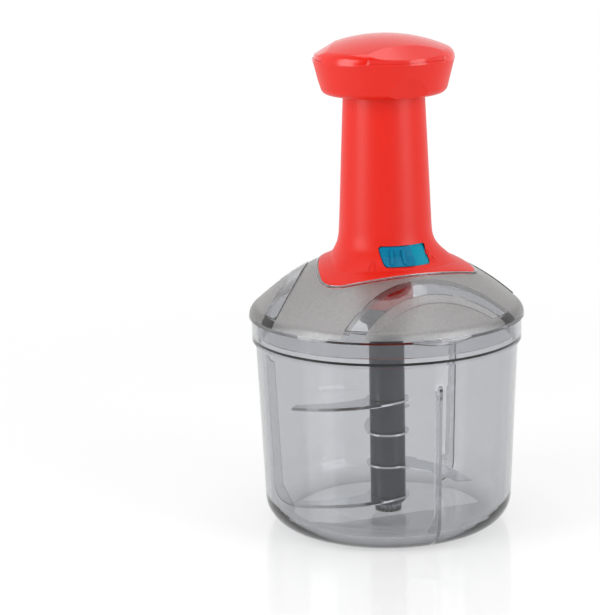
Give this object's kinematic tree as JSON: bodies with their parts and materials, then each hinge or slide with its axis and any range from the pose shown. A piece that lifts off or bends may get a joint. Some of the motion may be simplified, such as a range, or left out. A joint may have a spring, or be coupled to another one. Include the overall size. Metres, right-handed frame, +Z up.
{
  "type": "plunger food chopper",
  "caption": "Hand chopper with a clear round bowl, a domed lid with a column, a press-down cap that turns stacked sickle blades, and a lock slider",
  "frame": {"origin": "middle of the bowl's flat bottom, on the surface it stands on", "axes": "+Z up along the column, -Y towards the side with the lock slider, +X to that side's right"},
  "size_m": [0.1312, 0.1312, 0.2345],
  "materials": {
    "clear_plastic": "smoky clear acrylic",
    "lid_plastic": "smoky acrylic, frosted panels and polished arches",
    "column_red": "satin red moulded plastic",
    "cap_red": "glossy red moulded plastic",
    "lock_blue": "blue moulded plastic",
    "shaft_grey": "slate grey moulded plastic",
    "inner_plastic": "natural nylon",
    "blade_steel": "polished stainless steel",
    "steel": "plain steel"
  },
  "bodies": {
    "bowl": {"bowl": "clear_plastic", "pivot_pin": "steel"},
    "lid": {"lid_dome": "lid_plastic", "plunger_housing": "column_red", "lid_screws": "steel", "bearing_carrier": "column_red", "hub_ring": "shaft_grey", "thrust_washer": "steel"},
    "plunger": {"cap_base": "column_red", "cap_cover": "cap_red", "plunger_stem": "column_red", "twisted_rod": "steel", "rod_screw": "steel", "return_spring": "steel"},
    "drive": {"drive_tube": "inner_plastic", "drive_nut": "inner_plastic", "ratchet_spindle": "inner_plastic", "ratchet_spring": "steel"},
    "blades": {"blade_sleeve": "shaft_grey", "spacer_1": "shaft_grey", "spacer_2": "shaft_grey", "spacer_3": "shaft_grey", "blade_1": "blade_steel", "blade_2": "blade_steel", "blade_3": "blade_steel", "blade_4": "blade_steel", "shaft_foot": "shaft_grey", "core_tube": "steel"},
    "lock": {"lock_slider": "lock_blue"}
  },
  "joints": [
    {"name": "lid_lift", "type": "slide", "parent": "bowl", "child": "lid", "axis": [0, 0, 1], "range_m": [0, 0.06]},
    {"name": "cap_press", "type": "slide", "parent": "lid", "child": "plunger", "axis": [0, 0, 1], "range_m": [0, 0.06], "deforming": ["return_spring"]},
    {"name": "drive_spin", "type": "hinge", "parent": "lid", "child": "drive", "pos_m": [0, 0, 0.15], "axis": [0, 0, 1], "range_deg": [-720.5, 0]},
    {"name": "blade_spin", "type": "hinge", "parent": "bowl", "child": "blades", "pos_m": [0, 0, 0.05], "axis": [0, 0, 1], "range_deg": [-720.5, 0]},
    {"name": "lock_slide", "type": "hinge", "parent": "lid", "child": "lock", "pos_m": [0, -0.002, 0.134], "axis": [0, 0, 1], "range_deg": [0, 18]}
  ],
  "couplings": [
    {"joint": "drive_spin", "follows": "cap_press", "rad_per_m": -209.44},
    {"joint": "blade_spin", "follows": "cap_press", "rad_per_m": -209.44}
  ]
}
